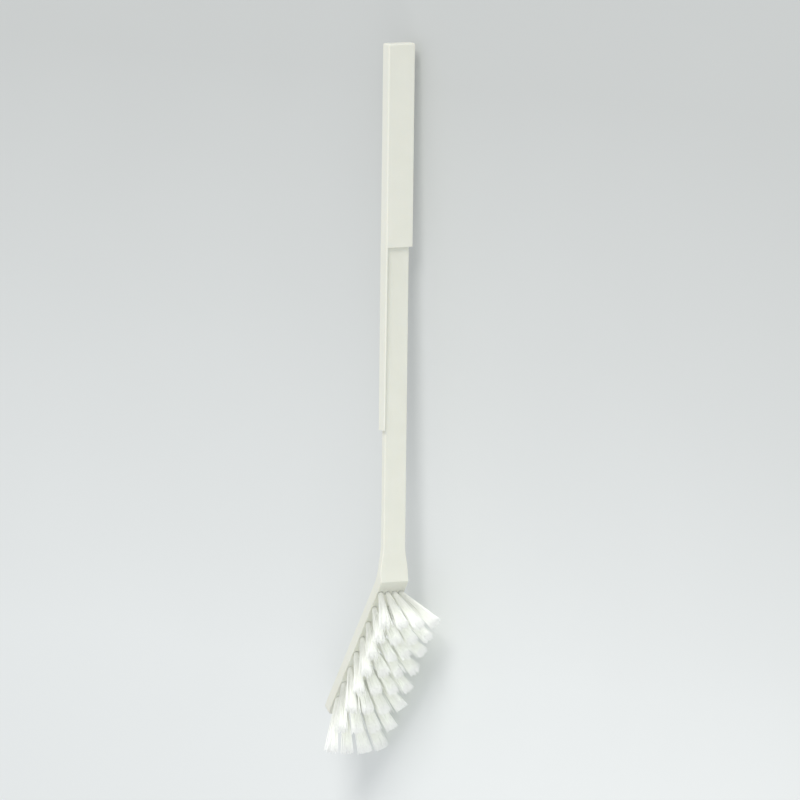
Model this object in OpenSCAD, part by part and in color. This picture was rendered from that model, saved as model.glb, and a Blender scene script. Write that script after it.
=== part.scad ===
// Long-handled moulded brush: a flat shaft with a tilted head plate, a thick grip sleeve on its upper
// end, a thin clip arm that carries the sleeve's left wall down along the shaft, and rows of filament
// tufts held in blind holes by short anchor wires.
// Millimetres. +Z is up, the bristles face -Y, and the origin is the centre of the grip's top face.

/* [Grip sleeve] */
// Length of the sleeve, from its closed top to its open lower end
grip_length = 109; // [90:1:130]
// Width of the sleeve across the front
grip_width = 16.2; // [16:0.1:18]
// Depth of the sleeve from front to back
grip_depth = 6.8; // [5.6:0.1:9]
// Radius of the sleeve's long corners
grip_corner = 0.7; // [0.3:0.1:1.5]
// Thickness of the closed top
cap_thickness = 1.6; // [1:0.1:3]
// Gap on each side between the shaft's tongue and the sleeve
tongue_clearance = 0.05; // [0.03:0.01:0.1]

/* [Clip arm] */
// Free length of the arm below the sleeve
arm_length = 98; // [40:0.5:120]
// Thickness of the arm where it leaves the sleeve
arm_root_thickness = 1.2; // [0.9:0.05:1.25]
// Thickness of the arm at its free end
arm_tip_thickness = 0.95; // [0.6:0.05:1.2]
// How far the front and the back edge draw in towards the free end
arm_edge_taper = 0.4; // [0:0.1:1]
// Height of the lead-in chamfer inside the free end
arm_lead_in = 1.2; // [0.5:0.1:3]

/* [Shaft] */
// Width of the shaft
shaft_width = 13.4; // [12:0.1:13.4]
// Thickness of the shaft
shaft_thickness = 3.4; // [2.8:0.1:4.5]
// Radius of the shaft's long edges
shaft_edge = 0.6; // [0.2:0.1:1.2]
// Gap between the end of the tongue and the sleeve's closed top
tongue_gap = 1.2; // [0.5:0.1:10]

/* [Neck] */
// Distance from the grip's top face down to the crisp front edge of the neck
neck_edge_drop = 288; // [250:1:330]
// Height of the ramp that rises to that edge
ramp_height = 9; // [5:0.5:15]
// How far the ramp stands out from the shaft
ramp_rise = 0.9; // [0.3:0.1:2]
// Height over which the shaft widens to the head's width
flare_height = 15.5; // [8:0.5:25]
// Distance from the end of the widening to the front edge
flare_end_drop = 4; // [1:0.5:8]
// Radius of the hollow behind the neck, where the head tilts back
back_fillet = 16; // [6:1:24]

/* [Head plate] */
// Length of the plate below the neck edge
head_length = 94.5; // [90:0.5:120]
// Width of the plate
head_width = 16.9; // [16.4:0.1:22]
// Thickness of the plate
head_thickness = 5.5; // [5:0.1:8]
// Angle by which the plate leans back from the shaft's line
head_tilt = 36; // [20:1:50]
// Radius of the plate's lower corners
head_corner = 3; // [1:0.5:6]

/* [Tufts] */
// Distance from the neck edge to the first row
first_row_drop = 8; // [6:0.5:9]
// Distance between rows
row_pitch = 10.7; // [9:0.1:11.2]
// Distance between the tufts of one row at the plate
column_pitch = 4.1; // [3.9:0.1:4.1]
// Length of a first-row tuft above the plate
first_tuft_length = 28; // [20:0.5:32]
// Length of a last-row tuft above the plate
last_tuft_length = 30.5; // [20:0.5:34]
// How late along the rows the length changes
length_power = 3; // [1:0.1:4]
// Radius of a tuft at its tip
tuft_tip_radius = 3.5; // [2:0.1:3.6]
// Lean of the first row towards the head's far end
first_row_lean = -2; // [-8:1:4]
// Lean of the last row towards the head's far end
last_row_lean = 34; // [10:1:36]
// How late along the rows the lean sets in
lean_power = 2.6; // [1:0.1:4]
// Sideways splay of the outermost tufts
side_splay = 19; // [5:1:19]
// Radius of the blind holes in the plate
hole_radius = 1.45; // [1.2:0.05:1.45]
// Depth of the blind holes along the tuft
hole_depth = 3.8; // [3:0.1:3.9]
// Gap between a tuft's root and the wall of its hole
root_clearance = 0.05; // [0.02:0.01:0.1]
// Height above the plate of the point that each row bends about
bend_height = 2.2; // [2.1:0.1:4]
// Radius of the round lower end of the bending part of a tuft
bend_radius = 1.5; // [1.2:0.05:1.5]

/* [Anchor wires] */
// Thickness of the flat wire
wire_thickness = 0.4; // [0.3:0.05:0.6]
// Height of the wire along the tuft
wire_height = 1.6; // [1:0.1:2]
// How far each end of the wire bites into the wall of the hole
wire_bite = 0.1; // [0.05:0.05:0.15]

/* [Hidden] */
$fn = 48;
row_count = 8;
column_letters = "abcd";
row_numbers = [1 : row_count];
column_numbers = [0 : len(column_letters) - 1];

tuft_names = [for (row = row_numbers, column = column_numbers) tuft_name(row, column)];
root_names = [for (row = row_numbers) roots_name(row)];

cut = 0.1;                     // how far a cutting shape runs past the face it cuts
curve_steps = 10;              // straight pieces in each curve of the neck
shaft_half = shaft_thickness / 2;
neck_front = shaft_half + ramp_rise;
ramp_top_drop = neck_edge_drop - ramp_height;
flare_top_drop = neck_edge_drop - flare_end_drop - flare_height;
neck_overlap = 8;              // how far the neck's profile runs on into the plate
hole_mouth = 2.5;              // how far a hole's cutter stands above the plate
root_seat = 0.05;              // gap under a root
root_top_gap = 0.1;            // gap between a root and the bending part above it
wire_seat = 0.4;               // plastic filament below the wire
wire_slot_gap = 0.02;          // gap around the wire in the fold of the filaments

plate_down = [-sin(head_tilt), -cos(head_tilt)];   // along the plate, as [forward, up]
plate_out = [cos(head_tilt), -sin(head_tilt)];     // out of the plate's bristle face

function tuft_name(row, column) = str("tuft_", row, column_letters[column]);
function roots_name(row) = str("tuft_roots_", row);
function along_rows(row, first, last, power) =
    first + (last - first) * pow((row - 1) / (row_count - 1), power);
function row_lean(row) = along_rows(row, first_row_lean, last_row_lean, lean_power);
function tuft_length(row) = along_rows(row, first_tuft_length, last_tuft_length, length_power);
function column_side(column) = 2 * column / (len(column_letters) - 1) - 1;
function column_splay(column) = side_splay * column_side(column);
function column_place(column) = column_pitch * (len(column_letters) - 1) / 2 * column_side(column);
function row_drop(row) = first_row_drop + row_pitch * (row - 1);
function bend_point(column) = bend_height / cos(column_splay(column));

// A rectangle centred on the origin with true arcs for corners
module rounded_rectangle(width, height, radius) {
    square([width, height - 2 * radius], center = true);
    square([width - 2 * radius, height], center = true);
    for (x = [-1, 1], y = [-1, 1])
        translate([x * (width / 2 - radius), y * (height / 2 - radius)])
            circle(radius);
}

// Runs a [forward, up] profile across the width
module across(width) {
    rotate([90, 0, -90])
        linear_extrude(width, center = true)
            children();
}

// Runs a [right, up] outline from front to back
module through(depth) {
    rotate([90, 0, 0])
        linear_extrude(depth, center = true)
            children();
}

// Frame on the plate's bristle face at the neck edge: -y runs down the plate, +z out of the bristles
module at_head() {
    translate([0, -neck_front, -neck_edge_drop])
        rotate([90 + head_tilt, 0, 0])
            children();
}

// Frame at the mouth of one hole, with +z along its tuft
module at_tuft(row, column) {
    at_head()
        translate([column_place(column), -row_drop(row), 0])
            rotate([row_lean(row), 0, 0])
                rotate([0, column_splay(column), 0])
                    children();
}

module shaft() {
    tongue_top = cap_thickness + tongue_gap;
    translate([0, 0, -flare_top_drop])
        linear_extrude(flare_top_drop - tongue_top)
            rounded_rectangle(shaft_width, shaft_thickness, shaft_edge);
}

module neck_profile() {
    front_edge = [neck_front, -neck_edge_drop];
    front_end = front_edge + neck_overlap * plate_down;
    back_end = front_end - head_thickness * plate_out;
    back_edge = front_edge - head_thickness * plate_out;
    corner_up = back_edge[1] - (back_edge[0] + shaft_half) / tan(head_tilt);
    arc_up = corner_up + back_fillet * tan(head_tilt / 2);
    ramp = [for (i = [0 : curve_steps]) let (u = i / curve_steps)
        [shaft_half + ramp_rise * u * u, -ramp_top_drop - ramp_height * u]];
    hollow = [for (i = [0 : curve_steps]) let (a = head_tilt * (1 - i / curve_steps))
        [-shaft_half - back_fillet * (1 - cos(a)), arc_up - back_fillet * sin(a)]];
    polygon(concat(
        [[shaft_half, -flare_top_drop]], ramp, [front_end, back_end],
        hollow, [[-shaft_half, -flare_top_drop]]));
}

module neck_outline() {
    side = [for (i = [0 : curve_steps]) let (u = i / curve_steps)
        [(shaft_width + (head_width - shaft_width) * (1 - cos(180 * u)) / 2) / 2,
         -flare_top_drop - flare_height * u]];
    bottom_up = -neck_edge_drop - 2 * neck_overlap;
    polygon(concat(
        side, [[head_width / 2, bottom_up], [-head_width / 2, bottom_up]],
        [for (i = [curve_steps : -1 : 0]) [-side[i][0], side[i][1]]]));
}

module neck() {
    intersection() {
        across(2 * head_width) neck_profile();
        through(2 * head_length) neck_outline();
    }
}

module head_plate() {
    at_head()
        translate([0, 0, -head_thickness])
            linear_extrude(head_thickness)
                head_outline();
}

module head_outline() {
    translate([-head_width / 2, head_corner - head_length])
        square([head_width, head_length - head_corner]);
    translate([head_corner - head_width / 2, -head_length])
        square([head_width - 2 * head_corner, head_length]);
    for (side = [-1, 1])
        translate([side * (head_width / 2 - head_corner), head_corner - head_length])
            circle(head_corner);
}

// One moulding: the tongue inside the grip, the shaft, the neck and the drilled head plate
module handle_body() {
    color("ivory")
    difference() {
        union() {
            shaft();
            neck();
            head_plate();
        }
        for (row = row_numbers, column = column_numbers)
            at_tuft(row, column)
                translate([0, 0, -hole_depth])
                    cylinder(h = hole_depth + hole_mouth, r = hole_radius);
    }
}

// Thick hollow sleeve pushed over the shaft's tongue, closed at the top
module grip_sleeve() {
    color("ivory")
    difference() {
        translate([0, 0, -grip_length])
            linear_extrude(grip_length)
                rounded_rectangle(grip_width, grip_depth, grip_corner);
        translate([0, 0, -grip_length - cut])
            linear_extrude(grip_length - cap_thickness + cut)
                rounded_rectangle(
                    shaft_width + 2 * tongue_clearance,
                    shaft_thickness + 2 * tongue_clearance,
                    shaft_edge);
    }
}

// Springy arm that carries the sleeve's left wall down along the shaft, free at its lower end
module clip_arm() {
    outer = -grip_width / 2;
    tip_drop = grip_length + arm_length;
    lead_in_drop = tip_drop - arm_lead_in;
    half_depth = grip_depth / 2;
    color("ivory")
    intersection() {
        through(2 * grip_depth)
            polygon([
                [outer, -grip_length], [outer + arm_root_thickness, -grip_length],
                [outer + arm_tip_thickness, -lead_in_drop],
                [outer + arm_tip_thickness / 2, -tip_drop], [outer, -tip_drop]]);
        across(2 * grip_width)
            polygon([
                [half_depth, -grip_length], [half_depth - arm_edge_taper, -tip_drop],
                [arm_edge_taper - half_depth, -tip_drop], [-half_depth, -grip_length]]);
    }
}

// Flat wire staples, one across the fold of each tuft, with their ends bitten into the plate
module anchor_wires() {
    color("silver")
    for (row = row_numbers, column = column_numbers)
        at_tuft(row, column)
            translate([0, 0, wire_seat + root_seat + wire_height / 2 - hole_depth])
                cube([wire_thickness, 2 * (hole_radius + wire_bite), wire_height], center = true);
}

// The folded lower ends of one row's tufts, packed tight in their holes
module tuft_roots(row) {
    color("whitesmoke")
    for (column = column_numbers)
        at_tuft(row, column)
            tuft_root(bend_point(column) - bend_radius - root_top_gap);
}

module tuft_root(top) {
    slot_height = wire_height + 2 * wire_slot_gap;
    difference() {
        translate([0, 0, root_seat - hole_depth])
            cylinder(h = top + hole_depth - root_seat, r = hole_radius - root_clearance);
        translate([0, 0, wire_seat + root_seat + wire_height / 2 - hole_depth])
            cube([wire_thickness + 2 * wire_slot_gap, 3 * hole_radius, slot_height], center = true);
    }
}

// The bending part of one tuft: a bundle that spreads from its round lower end to a flat-cut tip
module tuft(row, column) {
    color("whitesmoke")
    at_tuft(row, column)
        translate([0, 0, bend_point(column)]) {
            sphere(bend_radius);
            cylinder(h = tuft_length(row) - bend_point(column), r1 = bend_radius, r2 = tuft_tip_radius);
        }
}

handle_body();
grip_sleeve();
clip_arm();
anchor_wires();
for (row = row_numbers)
    tuft_roots(row);
for (row = row_numbers, column = column_numbers)
    tuft(row, column);
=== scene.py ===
import math

import bmesh
import bpy
import numpy as np
from mathutils import Matrix, Vector


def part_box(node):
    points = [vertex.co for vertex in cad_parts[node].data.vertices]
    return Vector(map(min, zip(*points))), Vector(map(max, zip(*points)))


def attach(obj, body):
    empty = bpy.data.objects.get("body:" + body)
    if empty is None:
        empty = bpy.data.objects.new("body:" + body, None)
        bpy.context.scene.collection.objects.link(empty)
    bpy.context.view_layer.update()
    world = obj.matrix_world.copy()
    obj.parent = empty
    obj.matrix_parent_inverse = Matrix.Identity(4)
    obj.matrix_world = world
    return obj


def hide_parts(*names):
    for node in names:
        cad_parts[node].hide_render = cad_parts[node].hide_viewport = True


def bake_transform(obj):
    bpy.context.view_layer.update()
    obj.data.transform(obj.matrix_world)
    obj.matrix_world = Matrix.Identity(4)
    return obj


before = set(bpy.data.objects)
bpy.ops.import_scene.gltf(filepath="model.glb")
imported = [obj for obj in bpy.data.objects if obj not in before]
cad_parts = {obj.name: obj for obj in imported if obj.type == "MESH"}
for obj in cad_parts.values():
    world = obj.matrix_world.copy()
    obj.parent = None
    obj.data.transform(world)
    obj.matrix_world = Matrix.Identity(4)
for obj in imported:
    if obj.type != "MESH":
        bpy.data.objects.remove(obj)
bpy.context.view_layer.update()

MM = 0.001
rng = np.random.default_rng(20)


# ---------------------------------------------------------------- sizes, in millimetres

def box_mm(name):
    """Lowest and highest corner of a CAD node."""
    low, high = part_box(name)
    return np.array(low) / MM, np.array(high) / MM


# Grip sleeve
grip_low, grip_high = box_mm("grip_sleeve")
GRIP_WIDTH, GRIP_DEPTH, GRIP_LENGTH = grip_high - grip_low
GRIP_CORNER, GRIP_END_ROUND = 0.7, 0.9
CAP_THICKNESS = 1.6
BORE_WIDTH, BORE_DEPTH, BORE_CORNER = 13.5, 3.5, 0.6
MOUTH_LIP = 0.15                # rounding of the open lower edge

# Clip arm, which carries the sleeve's left wall down
ARM_LENGTH = -GRIP_LENGTH - box_mm("clip_arm")[0][2]
ARM_ROOT, ARM_TIP, ARM_EDGE_TAPER, ARM_LEAD_IN = 1.2, 0.95, 0.4, 1.2
ARM_ROUNDNESS = 0.45            # edge radius as a share of the thickness
ARM_START_RISE, ARM_START_SUNK = 1.6, 0.05      # where the arm starts, inside the sleeve's wall
LAP_RISES, LAP_PROUD = (1.2, 0.4), 0.015        # skin just outside the sleeve's wall, over the join
TIP_STEPS = ((0.2, 0.62, 0.02), (0.05, 0.5, 0.08), (0.0, 0.34, 0.2))    # before the end, thickness, inset
TIP_EDGE = 0.25

# Handle moulding
SHAFT_WIDTH, SHAFT_HALF, SHAFT_EDGE, TONGUE_TOP = 13.4, 1.7, 0.6, 2.8
NECK_EDGE_DROP, RAMP_HEIGHT, RAMP_RISE = 288.0, 9.0, 0.9
FLARE_HEIGHT, FLARE_END_DROP, BACK_FILLET = 15.5, 4.0, 16.0
HEAD_LENGTH, HEAD_WIDTH, HEAD_THICKNESS, HEAD_CORNER = 94.5, 16.9, 5.5, 3.0
HEAD_RIM = 0.6
HEAD_TILT = math.radians(36)
BACK_EASE = 14.0                # stretch over which the plate's back sections square up

# Holes and tufts
ROWS, COLUMNS = 8, "abcd"
FIRST_ROW_DROP, ROW_PITCH, COLUMN_PITCH = 8.0, 10.7, 4.1
FIRST_LENGTH, LAST_LENGTH, LENGTH_POWER = 28.0, 30.5, 3.0
FIRST_LEAN, LAST_LEAN, LEAN_POWER, SIDE_SPLAY = -2.0, 34.0, 2.6, 19.0
HOLE_RADIUS, HOLE_DEPTH, HOLE_SIDES, CUTTER_RISE = 1.45, 3.8, 32, 2.5
TIP_RADIUS, TIP_INSET = 3.5, 0.3

# Filaments
FILAMENTS, FILAMENT_RADIUS, FILAMENT_SIDES = 84, 0.14, 6
BUNDLE_RADIUS = 1.22            # of the filaments' centres, in the hole
FOLD_HEIGHT = -1.5              # below it the filaments part around the anchor wire
WIRE_SIDE = 0.38                # room on each side of the anchor wire
SPREAD_START = 1.0              # height above the plate at which the bundle starts to open
SPREAD_POWER, WANDER_POWER = 1.05, 1.5
TIDY_REACH = (0.9, 1.05)        # range of a filament's reach, as a share of its place in the tuft
STRAYS = 0.30                   # share of the filaments that wander out of their bundle
STRAY_REACH = (1.1, 1.5)        # how much further those reach
SPIN_SPREAD = 0.12              # radians
BOW_SPREAD, WANDER_SPREAD = 0.3, 0.42
TUFT_WANDER, TUFT_WANDER_LIMIT = 0.4, 0.6       # of a whole tuft
END_JITTER = 1.3                # most that a filament falls short of the cut end
# Heights of a filament's rings above the plate. The last one stands for the cut end.
HEIGHTS = np.array([-3.35, -1.6, -0.6, 1.5, 3.5, 5.5, 8.0, 11.0, 14.5, 19.0, 24.0, 1.0])

RIGHT = np.array([1.0, 0.0, 0.0])
BACK = np.array([0.0, 1.0, 0.0])
NECK_FRONT = SHAFT_HALF + RAMP_RISE
PLATE_DOWN = np.array([math.sin(HEAD_TILT), -math.cos(HEAD_TILT)])    # along the plate, as (y, z)
PLATE_BACK = np.array([math.cos(HEAD_TILT), math.sin(HEAD_TILT)])     # into the plate, as (y, z)
NECK_EDGE = np.array([-NECK_FRONT, -NECK_EDGE_DROP])


# ---------------------------------------------------------------- mesh tools

def link(name, data):
    """A scene object for some data."""
    obj = bpy.data.objects.new(name, data)
    bpy.context.scene.collection.objects.link(obj)
    return obj


def mesh_object(name, points, faces):
    """A mesh from points in millimetres."""
    mesh = bpy.data.meshes.new(name)
    mesh.from_pydata((np.asarray(points) * MM).tolist(), [], faces)
    mesh.validate()
    return link(name, mesh)


def tube_faces(base, rings, sides):
    """Faces of a closed tube whose points start at base: its walls, then its two ends."""
    faces = []
    for r in range(rings - 1):
        for i in range(sides):
            j = (i + 1) % sides
            a, b = base + r * sides, base + (r + 1) * sides
            faces.append((a + i, a + j, b + j, b + i))
    faces.append(tuple(base + i for i in reversed(range(sides))))
    top = base + (rings - 1) * sides
    faces.append(tuple(top + i for i in range(sides)))
    return faces


def outward(obj):
    """Turns all faces outward."""
    mesh = bmesh.new()
    mesh.from_mesh(obj.data)
    bmesh.ops.recalc_face_normals(mesh, faces=mesh.faces)
    mesh.to_mesh(obj.data)
    mesh.free()


def loft(name, rings):
    """A closed skin over the rings."""
    obj = mesh_object(name, np.concatenate(rings), tube_faces(0, len(rings), len(rings[0])))
    outward(obj)
    return obj


def smooth(obj, crease):
    """Smooth shading with sharp edges above the crease angle, in degrees."""
    for polygon in obj.data.polygons:
        polygon.use_smooth = True
    obj.data.set_sharp_from_angle(angle=math.radians(crease))
    weighted = obj.modifiers.new("weighted", "WEIGHTED_NORMAL")
    weighted.keep_sharp = True
    weighted.weight = 90


def rounded_ring(across, inward, middle, width, depth, radius, steps=5):
    """Points of a rounded rectangle around middle, spanned by the unit vectors across and inward."""
    half_w, half_d = width / 2, depth / 2
    radius = min(radius, half_w * 0.98, half_d * 0.98)
    points = []
    for quarter, (sx, sy) in enumerate(((1, 1), (-1, 1), (-1, -1), (1, -1))):
        for i in range(steps + 1):
            angle = math.radians(90 * (quarter + i / steps))
            a = sx * (half_w - radius) + radius * math.cos(angle)
            b = sy * (half_d - radius) + radius * math.sin(angle)
            points.append(middle + a * across + b * inward)
    return points


def level_ring(x, z, width, depth, radius):
    """A level rounded rectangle, centred front to back."""
    return rounded_ring(RIGHT, BACK, np.array([x, 0.0, z]), width, depth, radius)


def round_drop(radius, past):
    """How far a quarter round of this radius has fallen away, past its start."""
    return radius - math.sqrt(max(radius ** 2 - past ** 2, 0)) if past > 0 else 0.0


def ease(u):
    """A smooth step from 0 to 1."""
    u = min(max(u, 0.0), 1.0)
    return u * u * (3 - 2 * u)


# ---------------------------------------------------------------- handle moulding

# Heights of the sections below the grip's top: the shaft, then five through the flare
SHAFT_SECTIONS = (TONGUE_TOP, GRIP_LENGTH, 140, 170, 200, 230, 255, 268.5, 271, 273.5, 276, 278.5)
# Shares of the neck's curve
NECK_SECTIONS = (0.02, 0.1, 0.2, 0.3, 0.4, 0.5, 0.6, 0.7, 0.8, 0.9, 0.975, 1.0)
# Distances along the plate, and then before its rounded end
PLATE_SECTIONS = (0.25, 2, 4, 6, 8, 10, 12, 14, 24, 34, 44, 54, 64, 74, 84)
END_SECTIONS = (HEAD_CORNER, 2.2, 1.5, 1.0, 0.6, 0.35, 0.17, 0.06, 0.0)


def section(front, back, width):
    """A section of the moulding between a front and a back point, each (y, z)."""
    span = back - front
    depth = float(np.linalg.norm(span))
    inward = np.array([0.0, *(span / depth)])
    middle = np.array([0.0, *((front + back) / 2)])
    return rounded_ring(RIGHT, inward, middle, width, depth, SHAFT_EDGE)


def neck_width(z):
    """Width of the moulding at a height: the shaft flares to the plate's width along a cosine."""
    flare_top = FLARE_END_DROP + FLARE_HEIGHT - NECK_EDGE_DROP
    u = min(max((flare_top - z) / FLARE_HEIGHT, 0), 1)
    return SHAFT_WIDTH + (HEAD_WIDTH - SHAFT_WIDTH) * (1 - math.cos(math.pi * u)) / 2


def handle_rings():
    """Sections of the moulding from the tongue's top down the shaft, round the neck, along the plate."""
    rings = []
    for drop in SHAFT_SECTIONS:
        z = -float(drop)
        rings.append(section(np.array([-SHAFT_HALF, z]), np.array([SHAFT_HALF, z]), neck_width(z)))

    back_edge = NECK_EDGE + HEAD_THICKNESS * PLATE_BACK
    corner_up = back_edge[1] + (back_edge[0] - SHAFT_HALF) / math.tan(HEAD_TILT)
    arc_up = corner_up + BACK_FILLET * math.tan(HEAD_TILT / 2)
    for u in NECK_SECTIONS:
        front = np.array([-SHAFT_HALF - RAMP_RISE * u * u, RAMP_HEIGHT * (1 - u) - NECK_EDGE_DROP])
        angle = HEAD_TILT * u
        arc_end = np.array([SHAFT_HALF + BACK_FILLET * (1 - math.cos(angle)),
                            arc_up - BACK_FILLET * math.sin(angle)])
        rings.append(section(front, arc_end, neck_width(front[1])))

    behind = float((arc_end - back_edge) @ PLATE_DOWN)
    for s in (*PLATE_SECTIONS, *(HEAD_LENGTH - d for d in END_SECTIONS)):
        t = s + behind * (1 - ease(s / BACK_EASE))
        width = HEAD_WIDTH - 2 * round_drop(HEAD_CORNER, s - (HEAD_LENGTH - HEAD_CORNER))
        inset = round_drop(HEAD_RIM, s - (HEAD_LENGTH - HEAD_RIM))
        front = NECK_EDGE + s * PLATE_DOWN + inset * PLATE_BACK
        back = back_edge + t * PLATE_DOWN - inset * PLATE_BACK
        rings.append(section(front, back, width))
    return rings


def along_rows(row, first, last, power):
    """A value that goes from first to last over the rows."""
    return first + (last - first) * ((row - 1) / (ROWS - 1)) ** power


def tuft_frame(row, column):
    """Mouth of one hole, the tuft's own axes x, y and along, and the way its row points."""
    side = 2 * column / (len(COLUMNS) - 1) - 1
    lean = math.radians(along_rows(row, FIRST_LEAN, LAST_LEAN, LEAN_POWER))
    head = Matrix.Rotation(math.pi / 2 + HEAD_TILT, 3, "X")
    down = FIRST_ROW_DROP + ROW_PITCH * (row - 1)
    place_on_plate = Vector((COLUMN_PITCH * (len(COLUMNS) - 1) / 2 * side, -down, 0))
    mouth = Vector((0, *NECK_EDGE)) + head @ place_on_plate
    row_turn = head @ Matrix.Rotation(lean, 3, "X")
    turn = row_turn @ Matrix.Rotation(math.radians(SIDE_SPLAY * side), 3, "Y")
    return np.array(mouth), [np.array(turn.col[i]) for i in range(3)], np.array(row_turn.col[2])


def each_tuft():
    """Row number and column index of every tuft, row by row."""
    return [(row, column) for row in range(1, ROWS + 1) for column in range(len(COLUMNS))]


def drill(obj):
    """Cuts the blind holes."""
    points, faces = [], []
    for row, column in each_tuft():
        mouth, (x, y, along), _ = tuft_frame(row, column)
        faces += tube_faces(len(points), 2, HOLE_SIDES)
        for height in (-HOLE_DEPTH, CUTTER_RISE):
            for i in range(HOLE_SIDES):
                a = 2 * math.pi * i / HOLE_SIDES
                points.append(mouth + height * along + HOLE_RADIUS * (math.cos(a) * x + math.sin(a) * y))
    cutters = mesh_object("cutters", points, faces)
    outward(cutters)
    cut = obj.modifiers.new("holes", "BOOLEAN")
    cut.operation, cut.object, cut.solver = "DIFFERENCE", cutters, "EXACT"
    graph = bpy.context.evaluated_depsgraph_get()
    drilled = bpy.data.meshes.new_from_object(obj.evaluated_get(graph), depsgraph=graph)
    obj.modifiers.clear()
    obj.data = drilled
    bpy.data.objects.remove(cutters)


def make_handle():
    obj = loft("handle_moulding", handle_rings())
    drill(obj)
    smooth(obj, 35)
    return obj


# ---------------------------------------------------------------- grip sleeve and clip arm

def make_sleeve():
    """The hollow sleeve: down the bore, round the open edge, up the outside and over the closed end."""
    def bore_ring(z, wider=0.0):
        return level_ring(0, z, BORE_WIDTH + wider, BORE_DEPTH + wider, BORE_CORNER)

    def outer_ring(z, inset=0.0):
        return level_ring(0, z, GRIP_WIDTH - 2 * inset, GRIP_DEPTH - 2 * inset, GRIP_CORNER)

    side_heights = (-40.0, -80.0)
    rings = [bore_ring(z) for z in (-CAP_THICKNESS, *side_heights, MOUTH_LIP - GRIP_LENGTH)]
    rings.append(bore_ring(-GRIP_LENGTH, 2 * MOUTH_LIP))
    for i in range(4):
        a = math.radians(30 * i)
        rings.append(outer_ring(MOUTH_LIP * (1 - math.cos(a)) - GRIP_LENGTH, MOUTH_LIP * (1 - math.sin(a))))
    rings += [outer_ring(z) for z in reversed(side_heights)]
    for i in range(6):
        a = math.radians(18 * i)
        rings.append(outer_ring(-GRIP_END_ROUND * (1 - math.sin(a)), GRIP_END_ROUND * (1 - math.cos(a))))
    obj = loft("grip_sleeve_shell", rings)
    smooth(obj, 50)
    return obj


def make_arm():
    """The arm, from inside the sleeve's wall to its rounded tip."""
    outer = -GRIP_WIDTH / 2
    rings = [level_ring(outer + ARM_ROOT / 2 + ARM_START_SUNK, ARM_START_RISE - GRIP_LENGTH,
                        ARM_ROOT, GRIP_DEPTH - 2 * ARM_START_SUNK, ARM_ROUNDNESS * ARM_ROOT)]
    for rise in LAP_RISES:
        rings.append(level_ring(outer + ARM_ROOT / 2 - LAP_PROUD, rise - GRIP_LENGTH,
                                ARM_ROOT, GRIP_DEPTH + 2 * LAP_PROUD, ARM_ROOT / 2))
    for drop in (0.4, *range(4, 41, 4), *range(50, 91, 10), ARM_LENGTH - ARM_LEAD_IN):
        u = drop / ARM_LENGTH
        thick = ARM_ROOT + (ARM_TIP - ARM_ROOT) * u
        depth = GRIP_DEPTH - 2 * ARM_EDGE_TAPER * u
        rings.append(level_ring(outer + thick / 2, -GRIP_LENGTH - drop, thick, depth, ARM_ROUNDNESS * thick))
    for before_end, thick, inset in TIP_STEPS:
        depth = GRIP_DEPTH - 2 * ARM_EDGE_TAPER - 2 * inset
        z = before_end - GRIP_LENGTH - ARM_LENGTH
        rings.append(level_ring(outer + inset + thick / 2, z, thick, depth, TIP_EDGE))
    obj = loft("grip_arm_strip", rings)
    smooth(obj, 50)
    return obj


# ---------------------------------------------------------------- tufts

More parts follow.
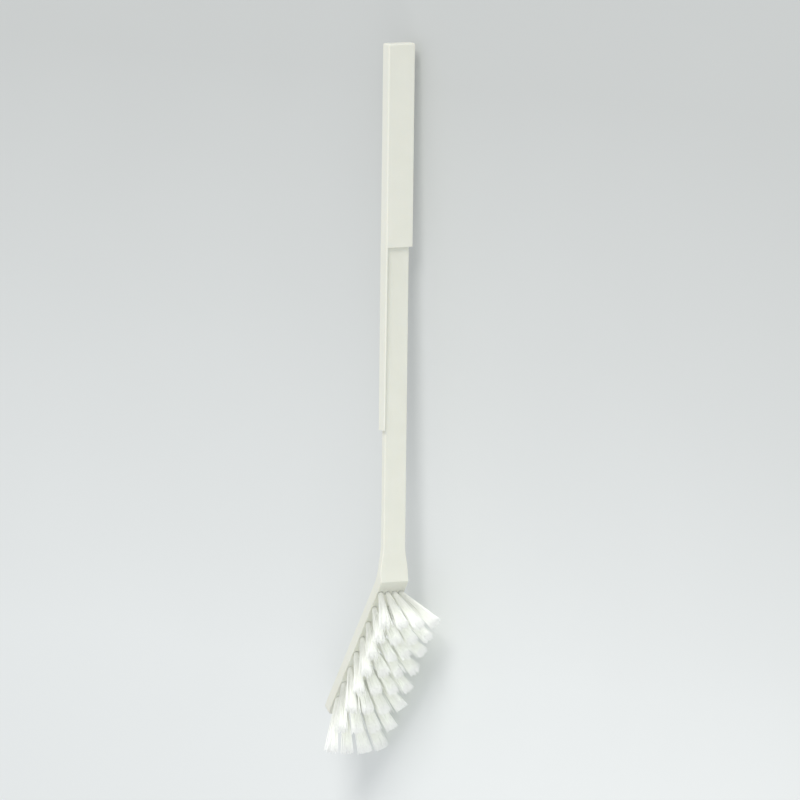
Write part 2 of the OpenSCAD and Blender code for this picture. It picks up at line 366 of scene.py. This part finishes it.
def make_tuft(row, column):
    """One bundle of separate filaments, spread from the hole's mouth to the flat-cut end."""
    mouth, (x, y, along), _ = tuft_frame(row, column)
    length = along_rows(row, FIRST_LENGTH, LAST_LENGTH, LENGTH_POWER)
    index = np.arange(FILAMENTS)
    share = np.sqrt((index + 0.5) / FILAMENTS)
    golden_angle = math.pi * (3 - math.sqrt(5))
    turn = index * golden_angle + rng.uniform(0, 6.28)
    root = BUNDLE_RADIUS * share
    tip = (TIP_RADIUS - TIP_INSET) * share * rng.uniform(*TIDY_REACH, FILAMENTS)
    tip = np.where(rng.random(FILAMENTS) < STRAYS, tip * rng.uniform(*STRAY_REACH, FILAMENTS), tip)
    spin = rng.normal(0, SPIN_SPREAD, FILAMENTS)
    bow = rng.normal(0, BOW_SPREAD, (FILAMENTS, 2))
    wander = rng.normal(0, WANDER_SPREAD, (FILAMENTS, 2))
    wander += np.clip(rng.normal(0, TUFT_WANDER, 2), -TUFT_WANDER_LIMIT, TUFT_WANDER_LIMIT)
    ends = length - END_JITTER * rng.random(FILAMENTS) ** 2

    stations, sides = len(HEIGHTS), FILAMENT_SIDES
    points = np.zeros((FILAMENTS, stations, sides, 3))
    travelled = np.zeros((FILAMENTS, stations))
    for k, height in enumerate(HEIGHTS):
        s = ends if k == stations - 1 else np.full(FILAMENTS, height)
        u = np.clip((s - SPREAD_START) / (length - SPREAD_START), 0, 1)
        radius = root + (tip - root) * u ** SPREAD_POWER
        angle = turn + spin * u
        sag = np.sin(math.pi * u) * u
        a = radius * np.cos(angle) + bow[:, 0] * sag + wander[:, 0] * u ** WANDER_POWER
        b = radius * np.sin(angle) + bow[:, 1] * sag + wander[:, 1] * u ** WANDER_POWER
        if height < FOLD_HEIGHT:
            a = np.sign(a) * (WIRE_SIDE + np.abs(a) * (BUNDLE_RADIUS - WIRE_SIDE) / BUNDLE_RADIUS)
        centre = mouth + s[:, None] * along + a[:, None] * x + b[:, None] * y
        for i in range(sides):
            w = 2 * math.pi * i / sides
            points[:, k, i] = centre + FILAMENT_RADIUS * (math.cos(w) * x + math.sin(w) * y)
        travelled[:, k] = np.clip(s / length, 0, 1)

    faces = []
    for f in range(FILAMENTS):
        faces += tube_faces(f * stations * sides, stations, sides)
    obj = mesh_object(f"bristles_{row}{COLUMNS[column]}", points.reshape(-1, 3), faces)
    shade = obj.data.attributes.new("along", "FLOAT", "POINT")
    shade.data.foreach_set("value", np.repeat(travelled.reshape(-1), sides).astype(np.float32))
    for polygon in obj.data.polygons:
        polygon.use_smooth = len(polygon.vertices) == 4
    return obj


# ---------------------------------------------------------------- material tools

def new_material(name):
    material = bpy.data.materials.new(name)
    material.use_nodes = True
    tree = material.node_tree
    tree.nodes.clear()
    return material, tree


def node(tree, kind, **values):
    """A node with its settings and input values."""
    made = tree.nodes.new(kind)
    for key, value in values.items():
        if hasattr(made, key) and key not in made.inputs:
            setattr(made, key, value)
        else:
            made.inputs[key].default_value = value
    return made


def feed(tree, socket, value):
    """Gives a socket a link, a colour or a number."""
    if isinstance(value, tuple):
        socket.default_value = (*value, 1)
    elif isinstance(value, (int, float)):
        socket.default_value = value
    else:
        tree.links.new(value, socket)


def finish_material(tree, shader):
    out = node(tree, "ShaderNodeOutputMaterial")
    tree.links.new(shader.outputs[0], out.inputs["Surface"])


def place(tree, scale=(1, 1, 1)):
    """Object coordinates, scaled."""
    coords = node(tree, "ShaderNodeTexCoord")
    mapping = node(tree, "ShaderNodeMapping")
    mapping.inputs["Scale"].default_value = scale
    tree.links.new(coords.outputs["Object"], mapping.inputs["Vector"])
    return mapping.outputs["Vector"]


def noise(tree, vector, scale, detail, roughness=0.5):
    """Noise from 0 to 1. The scale is in cells per metre."""
    made = node(tree, "ShaderNodeTexNoise", Scale=scale, Detail=detail, Roughness=roughness)
    tree.links.new(vector, made.inputs["Vector"])
    return made.outputs["Fac"]


def ramp(tree, value, low, high, to_low, to_high):
    """Maps low..high to to_low..to_high and stops at the ends."""
    made = node(tree, "ShaderNodeMapRange")
    made.inputs["From Min"].default_value, made.inputs["From Max"].default_value = low, high
    made.inputs["To Min"].default_value, made.inputs["To Max"].default_value = to_low, to_high
    tree.links.new(value, made.inputs["Value"])
    return made.outputs["Result"]


def mix_colour(tree, factor, first, second):
    made = node(tree, "ShaderNodeMix", data_type="RGBA")
    feed(tree, made.inputs[0], factor)
    feed(tree, made.inputs[6], first)
    feed(tree, made.inputs[7], second)
    return made.outputs[2]


def mix_shader(tree, factor, first, second):
    made = node(tree, "ShaderNodeMixShader")
    feed(tree, made.inputs[0], factor)
    tree.links.new(first.outputs[0], made.inputs[1])
    tree.links.new(second.outputs[0], made.inputs[2])
    return made


def maths(tree, operation, a, b):
    made = node(tree, "ShaderNodeMath", operation=operation)
    feed(tree, made.inputs[0], a)
    feed(tree, made.inputs[1], b)
    return made.outputs[0]


def add_bump(tree, shader, height, strength, distance):
    """Bump of a depth given in metres."""
    bump = node(tree, "ShaderNodeBump", Strength=strength, Distance=distance)
    tree.links.new(height, bump.inputs["Height"])
    tree.links.new(bump.outputs["Normal"], shader.inputs["Normal"])


# ---------------------------------------------------------------- materials

def edge_wear(tree):
    """Near 1 on the edges and 0 on the flats."""
    bevel = node(tree, "ShaderNodeBevel", samples=6, Radius=0.0005)
    geometry = node(tree, "ShaderNodeNewGeometry")
    dot = node(tree, "ShaderNodeVectorMath", operation="DOT_PRODUCT")
    tree.links.new(bevel.outputs["Normal"], dot.inputs[0])
    tree.links.new(geometry.outputs["Normal"], dot.inputs[1])
    return ramp(tree, dot.outputs["Value"], 0.97, 0.80, 0.0, 1.0)


def plastic(name, base, shade, rub, gloss):
    """Moulded polypropylene: milky, satin, with faint flow bands, fine grain, scuffs and rubbed edges."""
    material, tree = new_material(name)
    even = place(tree)
    flow = place(tree, (1, 1, 0.12))
    cloud = noise(tree, even, 70, 3)
    bands = noise(tree, flow, 420, 2)
    grain = noise(tree, even, 5200, 2)
    scuff = noise(tree, flow, 1900, 4, 0.65)
    scuffs = ramp(tree, scuff, 0.60, 0.72, 0.0, 1.0)
    worn = maths(tree, "MULTIPLY", edge_wear(tree), ramp(tree, cloud, 0.35, 0.65, 0.3, 1.0))

    colour = mix_colour(tree, ramp(tree, cloud, 0.3, 0.7, 0.0, 1.0), base, shade)
    colour = mix_colour(tree, ramp(tree, bands, 0.35, 0.7, 0.0, 0.35), colour, shade)
    colour = mix_colour(tree, worn, colour, rub)
    rough = maths(tree, "ADD", ramp(tree, cloud, 0.3, 0.7, gloss - 0.05, gloss + 0.05),
                  maths(tree, "MULTIPLY", scuffs, 0.10))
    rough = maths(tree, "ADD", rough, maths(tree, "MULTIPLY", worn, 0.08))
    height = maths(tree, "ADD", maths(tree, "MULTIPLY", grain, 0.35), maths(tree, "MULTIPLY", bands, 0.8))
    height = maths(tree, "ADD", height, maths(tree, "MULTIPLY", scuffs, -0.25))

    shader = node(tree, "ShaderNodeBsdfPrincipled")
    tree.links.new(colour, shader.inputs["Base Color"])
    tree.links.new(rough, shader.inputs["Roughness"])
    add_bump(tree, shader, height, 0.35, 0.00004)
    shader.inputs["IOR"].default_value = 1.49
    shader.inputs["Subsurface Weight"].default_value = 0.25
    shader.inputs["Subsurface Radius"].default_value = (1.0, 0.9, 0.75)
    shader.inputs["Subsurface Scale"].default_value = 0.0008
    finish_material(tree, shader)
    return material


def nylon(name):
    """Milky monofilament, with no two strands quite alike. Painted shade darkens it at the root, painted
    light brightens it at the cut end, and it carries a painted glow.
    """
    dim_strand, bright_strand = (0.92, 0.925, 0.895), (0.99, 0.993, 0.975)
    # Painted shade for the root and painted light for the cut end; milky is the filaments' own mottling
    painted_root_shade, painted_tip_light, milky = (0.72, 0.735, 0.675), (0.985, 0.99, 0.985), (0.975, 0.98, 0.95)
    material, tree = new_material(name)
    geometry = node(tree, "ShaderNodeNewGeometry")
    strand = geometry.outputs["Random Per Island"]
    along = node(tree, "ShaderNodeAttribute", attribute_name="along").outputs["Fac"]
    fine = noise(tree, place(tree), 1600, 2)

    colour = mix_colour(tree, strand, dim_strand, bright_strand)
    # Painted shade: darker towards the root, where the filaments crowd together
    colour = mix_colour(tree, ramp(tree, along, 0.02, 0.65, 0.85, 0.0), colour, painted_root_shade)
    # Painted light: brighter towards the cut end
    colour = mix_colour(tree, ramp(tree, along, 0.55, 1.0, 0.0, 0.8), colour, painted_tip_light)
    colour = mix_colour(tree, ramp(tree, fine, 0.4, 0.7, 0.0, 0.25), colour, milky)
    shader = node(tree, "ShaderNodeBsdfPrincipled")
    tree.links.new(colour, shader.inputs["Base Color"])
    tree.links.new(ramp(tree, fine, 0.3, 0.7, 0.24, 0.36), shader.inputs["Roughness"])
    shader.inputs["IOR"].default_value = 1.53
    # Colour of the painted glow
    shader.inputs["Emission Color"].default_value = (0.97, 1.0, 0.96, 1)
    # Painted glow, though the tuft is no lamp: it stands for the light that a clear strand passes on inside
    # itself
    painted_glow = maths(tree, "MULTIPLY", ramp(tree, strand, 0.0, 1.0, 0.03, 0.14),
                 ramp(tree, along, 0.1, 0.9, 0.3, 1.2))
    tree.links.new(painted_glow, shader.inputs["Emission Strength"])
    add_bump(tree, shader, fine, 0.2, 0.00003)
    glow = node(tree, "ShaderNodeBsdfTranslucent")
    tree.links.new(colour, glow.inputs["Color"])
    finish_material(tree, mix_shader(tree, ramp(tree, along, 0.0, 1.0, 0.08, 0.16), shader, glow))
    return material


def steel(name):
    """Drawn flat wire with faint lines along it and a few dull spots."""
    bright, dull = (0.62, 0.63, 0.64), (0.38, 0.36, 0.33)
    material, tree = new_material(name)
    lines = noise(tree, place(tree, (0.15, 1, 1)), 6000, 3)
    spots = noise(tree, place(tree), 1500, 2)
    shader = node(tree, "ShaderNodeBsdfPrincipled", Metallic=1.0)
    colour = mix_colour(tree, ramp(tree, spots, 0.45, 0.7, 0.0, 1.0), bright, dull)
    tree.links.new(colour, shader.inputs["Base Color"])
    tree.links.new(ramp(tree, spots, 0.3, 0.7, 0.25, 0.5), shader.inputs["Roughness"])
    add_bump(tree, shader, lines, 0.3, 0.00002)
    finish_material(tree, shader)
    return material


def paper(name):
    """Pale ground with painted shade that darkens it towards the grip's end and the right. From behind, the
    camera sees through it.
    """
    pale, painted_shade_grey = (0.765, 0.787, 0.785), (0.60, 0.615, 0.607)
    material, tree = new_material(name)
    soft = noise(tree, place(tree), 9, 2)
    fine = noise(tree, place(tree), 2200, 2)
    where = node(tree, "ShaderNodeSeparateXYZ")
    tree.links.new(place(tree), where.inputs[0])
    # Painted shade: darker towards the grip's end, with a faint mottle
    shade = maths(tree, "ADD", ramp(tree, where.outputs[2], -0.34, -0.02, 0.0, 1.0),
                  ramp(tree, soft, 0.3, 0.7, -0.03, 0.03))
    # Painted shade: darker towards the right
    painted_side_shade = ramp(tree, where.outputs[1], 0.0, -0.3, 0.0, 0.3)
    shade = maths(tree, "ADD", shade, maths(tree, "MULTIPLY", painted_side_shade, maths(tree, "SUBTRACT", 1.0, shade)))
    shader = node(tree, "ShaderNodeBsdfPrincipled", Roughness=0.85)
    tree.links.new(mix_colour(tree, shade, pale, painted_shade_grey), shader.inputs["Base Color"])
    shader.inputs["Specular IOR Level"].default_value = 0.1
    add_bump(tree, shader, fine, 0.1, 0.00005)
    clear = node(tree, "ShaderNodeBsdfTransparent")
    geometry = node(tree, "ShaderNodeNewGeometry")
    path = node(tree, "ShaderNodeLightPath")
    behind = maths(tree, "MULTIPLY", geometry.outputs["Backfacing"], path.outputs["Is Camera Ray"])
    finish_material(tree, mix_shader(tree, behind, shader, clear))
    return material


# ---------------------------------------------------------------- assembly

handle_finish = plastic("handle_plastic", base=(0.812, 0.816, 0.735), shade=(0.787, 0.791, 0.703),
                        rub=(0.835, 0.838, 0.77), gloss=0.40)
grip_finish = plastic("grip_plastic", base=(0.832, 0.834, 0.752), shade=(0.809, 0.812, 0.727),
                      rub=(0.85, 0.852, 0.785), gloss=0.42)
nylon_finish = nylon("tuft_nylon")
wire_finish = steel("anchor_wire")


def dress(obj, material):
    """Gives a new piece its material."""
    obj.data.materials.clear()
    obj.data.materials.append(material)


handle = make_handle()
dress(handle, handle_finish)
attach(handle, "handle")
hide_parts("handle_body")

sleeve = make_sleeve()
dress(sleeve, grip_finish)
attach(sleeve, "handle")
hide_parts("grip_sleeve")

arm = make_arm()
dress(arm, grip_finish)
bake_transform(arm)
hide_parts("clip_arm")

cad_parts["anchor_wires"].material_slots[0].material = wire_finish

for row, column in each_tuft():
    bristles = make_tuft(row, column)
    dress(bristles, nylon_finish)
    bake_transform(bristles)
    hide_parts(f"tuft_{row}{COLUMNS[column]}", f"tuft_roots_{row}")


# ---------------------------------------------------------------- stage, in metres

GROUND_SIDE, GROUND_CELLS, GROUND_GAP = 6.0, 12, 0.0004
# The brush lies on its right side: the ground touches the grip's edge, the plate's end and the last tufts.
AWAY = Vector((0.948, 0.3146, 0.048)).normalized()
TOUCHING = ("handle_body", "grip_sleeve", "tuft_8")


def make_ground():
    """A flat sheet square to AWAY that faces the brush."""
    touching = [obj for name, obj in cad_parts.items() if name.startswith(TOUCHING)]
    reach = max(v.co.dot(AWAY) for obj in touching for v in obj.data.vertices)
    across = AWAY.cross(Vector((0, 0, 1))).normalized()
    up_slope = across.cross(AWAY).normalized()
    steps = [GROUND_SIDE * (i / GROUND_CELLS - 0.5) for i in range(GROUND_CELLS + 1)]
    middle = AWAY * (reach + GROUND_GAP)
    points = [(middle + across * a + up_slope * b) / MM for a in steps for b in steps]
    cells = []
    for i in range(GROUND_CELLS):
        for j in range(GROUND_CELLS):
            k = i * (GROUND_CELLS + 1) + j
            cells.append((k, k + GROUND_CELLS + 1, k + GROUND_CELLS + 2, k + 1))
    ground = mesh_object("ground", points, cells)
    ground.data.materials.append(paper("pale_ground_painted_shade"))


def make_camera():
    """A view without perspective from the left front, a little above."""
    view_width, distance, far_clip, roll = 0.4252, 2.362, 50, math.radians(0.7)
    aim = Vector((-0.00836, -0.01996, -0.1885))
    right, up = Vector((0.8660, -0.5, 0.0)), Vector((0.0566, 0.0980, 0.9936))
    towards = Vector((-0.4968, -0.8605, 0.1132))
    rolled_up = up * math.cos(roll) - right * math.sin(roll)
    right = rolled_up.cross(towards).normalized()
    up = towards.cross(right).normalized()
    towards.normalize()
    data = bpy.data.cameras.new("camera")
    data.type, data.ortho_scale, data.clip_end = "ORTHO", view_width, far_clip
    camera = link("camera", data)
    turn = Matrix((right, up, towards)).transposed().to_4x4()
    camera.matrix_world = Matrix.Translation(aim + towards * distance) @ turn
    bpy.context.scene.camera = camera


def turn_light(light, direction, axis):
    light.rotation_mode = "QUATERNION"
    light.rotation_quaternion = direction.to_track_quat(axis, "Y")


def make_lights():
    """A broad key from the upper left and a low disk that lifts the tufts."""
    sun = bpy.data.lights.new("key", "SUN")
    sun.energy, sun.angle, sun.color = 1.5, math.radians(28), (1.0, 0.985, 0.96)
    turn_light(link("key", sun), Vector((-0.52, -0.42, 0.74)), "Z")

    head_middle = Vector((0, 0.01, -0.335))
    disk = bpy.data.lights.new("low_fill", "AREA")
    disk.shape, disk.size, disk.energy, disk.color = "DISK", 0.35, 0.48, (1.0, 0.995, 0.98)
    low_fill = link("low_fill", disk)
    low_fill.location = head_middle + Vector((-0.16, -0.36, -0.34))
    turn_light(low_fill, head_middle - low_fill.location, "-Z")


def make_world():
    """Even studio light, a little stronger from below."""
    world = bpy.data.worlds.new("studio")
    world.use_nodes = True
    sky = world.node_tree
    background = sky.nodes["Background"]
    background.inputs["Color"].default_value = (0.725, 0.74, 0.755, 1)
    height = node(sky, "ShaderNodeSeparateXYZ")
    sky.links.new(node(sky, "ShaderNodeTexCoord").outputs["Generated"], height.inputs[0])
    sky.links.new(ramp(sky, height.outputs[2], -0.8, 0.8, 1.04, 0.88), background.inputs["Strength"])
    bpy.context.scene.world = world


make_ground()
make_camera()
make_lights()
make_world()

bpy.context.scene.view_settings.view_transform = "Standard"
# Light has to pass through many pale filaments before it leaves a tuft
bpy.context.scene.cycles.max_bounces = 48
bpy.context.scene.cycles.diffuse_bounces = 40
bpy.context.scene.cycles.transmission_bounces = 40
